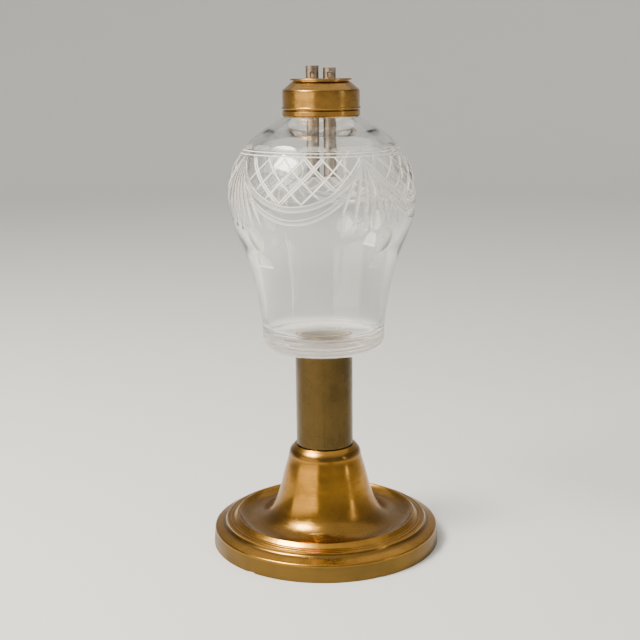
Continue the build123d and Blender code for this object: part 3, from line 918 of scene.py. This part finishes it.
def makeFont():
    # the cut quarter laid on the side four times, with turned ends welded on below and above
    look = fontLook
    flat, triangles, cuts, (uLeft, uRight, sLow, sHigh) = cutQuarter()
    depth, _ = cutDepth(flat, cuts)
    corners = flat[triangles]
    middle = corners.mean(1)
    middleDepth, kind = cutDepth(middle, cuts)
    kind = np.where(middleDepth > look["leastCut"], kind, 0)
    probe = (corners * 0.9 + middle[:, None, :] * 0.1).reshape(-1, 2)
    small = 0.01
    here = cutDepth(probe, cuts)[0]
    slopeU = (cutDepth(probe + (small, 0), cuts)[0] - here) / small * look["unit"] / radiusAt(probe[:, 1])
    slopeS = (cutDepth(probe + (0, small), cuts)[0] - here) / small
    slopeU, slopeS = np.clip(slopeU, -1, 1), np.clip(slopeS, -1, 1)
    quarters, normals, faces = [], [], []
    for q in range(4):
        place, outward, _, _ = bodySurface(flat[:, 0], flat[:, 1], q * look["quarter"])
        quarters.append(place - outward * depth[:, None])
        cornerFlat = corners.reshape(-1, 2)
        _, outward, roundWay, upWay = bodySurface(cornerFlat[:, 0], cornerFlat[:, 1], q * look["quarter"])
        tilt = outward + roundWay * slopeU[:, None] + upWay * slopeS[:, None]
        normals.append(tilt / np.linalg.norm(tilt, axis=1)[:, None])
        faces.append(triangles + q * len(flat))
    co = np.vstack(quarters)
    onEdge = (abs(flat[:, 0] - uLeft) < 1e-3) | (abs(flat[:, 0] - uRight) < 1e-3)
    onEdge |= (abs(flat[:, 1] - sLow) < 1e-3) | (abs(flat[:, 1] - sHigh) < 1e-3)
    edgeIds = [np.flatnonzero(onEdge) + q * len(flat) for q in range(4)]
    blocks, fans, quads, rims = turnedEnds(len(co), sLow, sHigh)
    fans.insert(0, np.vstack(faces))
    co = np.vstack([co] + blocks)
    edgeIds = np.concatenate(edgeIds + rims)
    weld = np.arange(len(co))
    for block in np.array_split(edgeIds, 8):
        close = ((co[block][:, None] - co[edgeIds][None]) ** 2).sum(-1) < look["weld"] ** 2
        weld[block] = edgeIds[close.argmax(1)]
    faces = [weld[weld[np.vstack(fans)]], weld[weld[np.vstack(quads)]]]
    # triangles that the welding closed up are left out, with their kinds and normals
    sound = (faces[0] != np.roll(faces[0], 1, 1)).all(1)
    faces[0] = faces[0][sound]
    ofBelt = sound[:4 * len(triangles)]
    beltNormals = np.vstack(normals).reshape(-1, 3, 3)[ofBelt].reshape(-1, 3)
    beltKinds = np.tile(kind, 4)[ofBelt]
    used, packed = np.unique(np.concatenate([f.ravel() for f in faces]), return_inverse=True)
    packed = packed.reshape(-1)
    faces = [packed[:faces[0].size].reshape(-1, 3), packed[faces[0].size:].reshape(-1, 4)]
    kinds = np.zeros(len(faces[0]) + len(faces[1]), int)
    kinds[:len(beltKinds)] = beltKinds
    # the thick rounded edge of the base gets a pinkish milky tone: painted sheen for the light held in the
    # thick glass
    middles = np.concatenate([co[used][f].mean(1) for f in faces])
    baseLow, baseHigh = widestHeight + look["baseEdge"][0], widestHeight + look["baseEdge"][1]
    onBase = (middles[:, 2] > baseLow) & (middles[:, 2] < baseHigh)
    kinds[onBase & (np.hypot(middles[:, 0], middles[:, 1]) > look["baseRadius"])] = 3
    font = meshObject("fontGlass", co[used], faces, kinds)
    for material in (clearGlass, satinCutGlass, groundGlass, baseSheenGlass, polishedCutGlass):
        font.data.materials.append(material)
    cornerNormals = np.zeros((len(font.data.loops), 3))
    cornerNormals[:len(beltNormals)] = beltNormals
    font.data.normals_split_custom_set(cornerNormals.tolist())
    edges = np.sort(np.vstack([np.stack([f, np.roll(f, -1, 1)], -1).reshape(-1, 2) for f in faces]), axis=1)
    _, uses = np.unique(edges, axis=0, return_counts=True)
    print("font:", len(font.data.polygons), "faces, open edges", int((uses != 2).sum()))
    settle(font, "base", "clear_glass", "font")


makeFont()


# turned brass pieces, from their CAD profiles
footLook = {"soften": 0.12, "spacing": 0.7, "segments": 216}
dents = [  # azimuth, height, radius, depth in mm
    (7.5, 41.5, 2.0, 0.16), (-1.0, 34.4, 2.4, 0.16), (64.0, 30.0, 3.2, 0.14), (150.0, 37.0, 2.4, 0.15),
    (-118.0, 26.0, 3.0, 0.12)]
nicks = [(-39.0, 0.9), (26.0, 0.8), (112.0, 0.7), (-151.0, 0.8)]  # azimuth, depth on the rim's lower edge
bruiseLook = {"dentSpread": 0.6, "nickWidth": 1.1, "nickHeight": 0.8, "rimRadius": 49.5,
              "waveDepth": 0.05, "waveLow": 14, "waveHigh": 43}


def pushed(co, amount):
    # points moved away from the axis by an amount in mm; a negative one moves them in
    scale = 1 + amount / np.maximum(np.hypot(co[:, 0], co[:, 1]), 5)
    return co * np.stack([scale, scale, np.ones(len(co))], 1)


def bruiseFoot(co):
    # a dent sinks towards the axis as a bell curve of the distance from its middle; a nick bites the rim's
    # edge; a slow wave round the bell takes away its machined look
    look = bruiseLook
    azimuth = np.degrees(np.arctan2(co[:, 0], -co[:, 1]))
    radius, height = np.hypot(co[:, 0], co[:, 1]), co[:, 2]
    sink = np.zeros(len(co))
    for at, middle, size, depth in dents:
        aside = np.radians((azimuth - at + 180) % 360 - 180) * radius
        sink += depth * np.exp(-(aside ** 2 + (height - middle) ** 2) / (size * look["dentSpread"]) ** 2)
    for at, depth in nicks:
        aside = np.radians((azimuth - at + 180) % 360 - 180) * radius
        away = (aside / look["nickWidth"]) ** 2 + (np.maximum(height, 0) / look["nickHeight"]) ** 2
        sink += depth * np.exp(-away) * (radius > look["rimRadius"])
    slow = look["waveDepth"] * np.sin(np.radians(azimuth) * 3 + height / 9)
    slow = slow * (height > look["waveLow"]) * (height < look["waveHigh"])
    return pushed(co, -(sink + np.abs(slow)))


footPiece = turnedPiece("footShell", "foot", footLook, bruiseFoot)
footPiece.data.materials.append(brassFoot)
settle(footPiece, "base", "foot_brass", "foot")

threadLook = {"pitch": 1.5, "depth": 0.32, "fade": 0.8, "soften": 0.12, "spacing": 0.18, "segments": 160}


def threaded(co, low, high, inside, outside, way):
    # a helix between two heights, on points between two radii: a groove every pitch of height, one pitch
    # further for a whole turn, fading out at both ends; way -1 cuts inwards, 1 outwards
    look = threadLook
    turn = np.arctan2(co[:, 0], -co[:, 1]) / (2 * math.pi)
    groove = 0.5 - 0.5 * np.cos(2 * math.pi * ((co[:, 2] / look["pitch"] - turn) % 1))
    fade = np.clip((co[:, 2] - low) / look["fade"], 0, 1) * np.clip((high - co[:, 2]) / look["fade"], 0, 1)
    radius = np.hypot(co[:, 0], co[:, 1])
    return pushed(co, way * look["depth"] * groove * fade * (radius > inside) * (radius < outside))


def threadCollar(co):
    # rolled thread on the outside of the collar's upper part
    low, high = heights("collar")
    return threaded(co, low + 3.4, high - 0.4, 15.2, 15.6, -1)


def threadCap(co):
    # the matching thread in the cap's bore
    low, _ = heights("cap")
    return threaded(co, low + 0.5, low + 5.2, 15.3, 15.7, 1)


for name, node, body, thread in (("collarRing", "collar", "base", threadCollar),
                                 ("capShell", "cap", "screw_cap", threadCap)):
    piece = turnedPiece(name, node, threadLook, thread)
    piece.data.materials.append(brassCollar)
    settle(piece, body, "collar_brass", node)

studLook = {"pitch": 0.8, "depth": 0.42, "gap": 0.02, "lead": 0.5, "leadDepth": 0.35, "segments": 48,
            "rowsPerPitch": 8}


def makeStud():
    # V thread: the radius falls and rises once per pitch of height, one pitch further for a whole turn;
    # the lower end is a little thinner
    look = studLook
    low, high = heights("stem_stud")
    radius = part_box("stem_stud")[1].x / mm
    rows = np.linspace(low, high, int((high - low) / look["pitch"] * look["rowsPerPitch"]))
    turn = np.arange(look["segments"]) / look["segments"]
    phase = (rows[:, None] / look["pitch"] - turn) % 1
    fade = np.clip((rows - low) / look["lead"], 0, 1)[:, None]
    r = radius - look["gap"] - look["depth"] * np.abs(2 * phase - 1) - look["leadDepth"] * (1 - fade)
    rings = around(r, 2 * math.pi * turn, rows[:, None]).reshape(-1, 3)
    co = np.vstack([[[0, 0, low]], rings, [[0, 0, high]]])
    faces, _ = turnedFaces(len(rows) + 2, look["segments"], False, True, True)
    stud = meshObject("studThread", co, faces)
    faceOutwards(stud)
    stud.data.materials.append(darkIron)
    settle(stud, "base", "iron", "stem_stud")


makeStud()

wickLook = {"strands": 8, "segments": 64, "rows": 190, "pitch": 5.5, "depth": 0.2, "weave": 0.7,
            "gap": 0.03, "topGap": 0.35, "frayFrom": 0.985, "frayDepth": 0.25,
            "crown": ((0.72, 0.12), (0.4, 0.2)), "crownWave": 0.06, "crownTop": 0.22, "hairs": 46,
            "hairSpread": 0.75, "hairLean": 0.10, "hairLeast": 0.15, "hairSwing": 0.2, "hairHalf": 0.05}


def makeWick(name, node, body, seed):
    # a braided cord: two sets of strands wind opposite ways and ride over each other in turn
    low, high = [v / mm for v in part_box(node)]
    centre, radius = (low.x + high.x) / 2, (high.x - low.x) / 2
    middle = np.array([centre, 0, 0])
    look = wickLook
    rows = np.linspace(0, 1, look["rows"])[:, None]
    turn = 2 * math.pi * np.arange(look["segments"]) / look["segments"]
    height = low.z + (high.z - low.z - look["topGap"]) * rows
    wind = 2 * math.pi * (height - low.z) / look["pitch"]
    right = np.cos(look["strands"] * 0.5 * (turn + wind))
    left = np.cos(look["strands"] * 0.5 * (turn - wind))
    over = np.maximum(np.abs(right), np.abs(left)) ** look["weave"]
    fray = np.clip((rows - look["frayFrom"]) / (1 - look["frayFrom"]), 0, 1)
    r = radius - look["gap"] - look["depth"] * (1 - over) - look["frayDepth"] * fray
    rings = around(r, turn, height)
    crown = [around(r[-1] * share, turn, height[-1] + lift + look["crownWave"] * np.sin(7 * turn + seed))
             for share, lift in look["crown"]]
    sole = around(r[0] * 0.5, turn, height[0])
    cord = (np.concatenate([[sole], rings, crown]) + middle).reshape(-1, 3)
    co = np.vstack([[[centre, 0, low.z]], cord, [[centre, 0, height[-1, 0] + look["crownTop"]]]])
    faces, _ = turnedFaces(look["rows"] + 5, look["segments"], False, True, True)
    # loose hairs on the cut end: thin three-sided spikes that lean outwards
    draw = np.random.default_rng(seed)
    n = look["hairs"]
    spread = radius * look["hairSpread"] * np.sqrt(draw.random(n))
    at = 2 * math.pi * draw.random(n)
    foot = around(spread, at, height[-1, 0]) + middle
    lean = around(1, at, 0) * (look["hairLean"] * spread / radius)[:, None]
    rise = look["hairLeast"] + look["hairSwing"] * draw.random(n)
    tip = foot + lean + np.array([0, 0, 1]) * rise[:, None]
    k = 2 * math.pi * np.arange(3) / 3
    spikeFoot = foot[:, None, :] + look["hairHalf"] * np.stack([np.cos(k), np.sin(k), 0 * k], -1)[None]
    hairs = np.concatenate([spikeFoot, tip[:, None, :]], 1).reshape(-1, 3)
    first = len(co) + 4 * np.arange(n)[:, None]
    spikes = np.concatenate([first + (0, 1, 3), first + (1, 2, 3), first + (2, 0, 3), first + (0, 2, 1)])
    faces[0] = np.vstack([faces[0], spikes])
    wick = meshObject(name, np.vstack([co, hairs]), faces)
    wick.data.materials.append(cottonYarn)
    settle(wick, body, "cotton", node)
    print("wick", name, len(wick.data.polygons), "faces")


makeWick("wickLeftBraid", "wick_left", "left_wick", 3)
makeWick("wickRightBraid", "wick_right", "right_wick", 8)

# CAD pieces whose shape is right keep it and get their finish
finishes = {"stem_tube": brassStem, "stem_plug": brassStem, "stem_washer": darkIron, "stem_nut": darkIron,
            "peg_cement": pegPlaster, "collar_cement": oldPlaster, "cap_gasket": oiledLeather,
            "burner_disc": brassDisc, "burner_skirt": brassDisc, "wick_tube_left": tinnedMetal,
            "wick_tube_right": tinnedMetal, "tube_solder": softSolder}
for node, material in finishes.items():
    for socket in nodes[node].material_slots:
        socket.material = material
print("finishes given to", len(finishes), "CAD pieces")
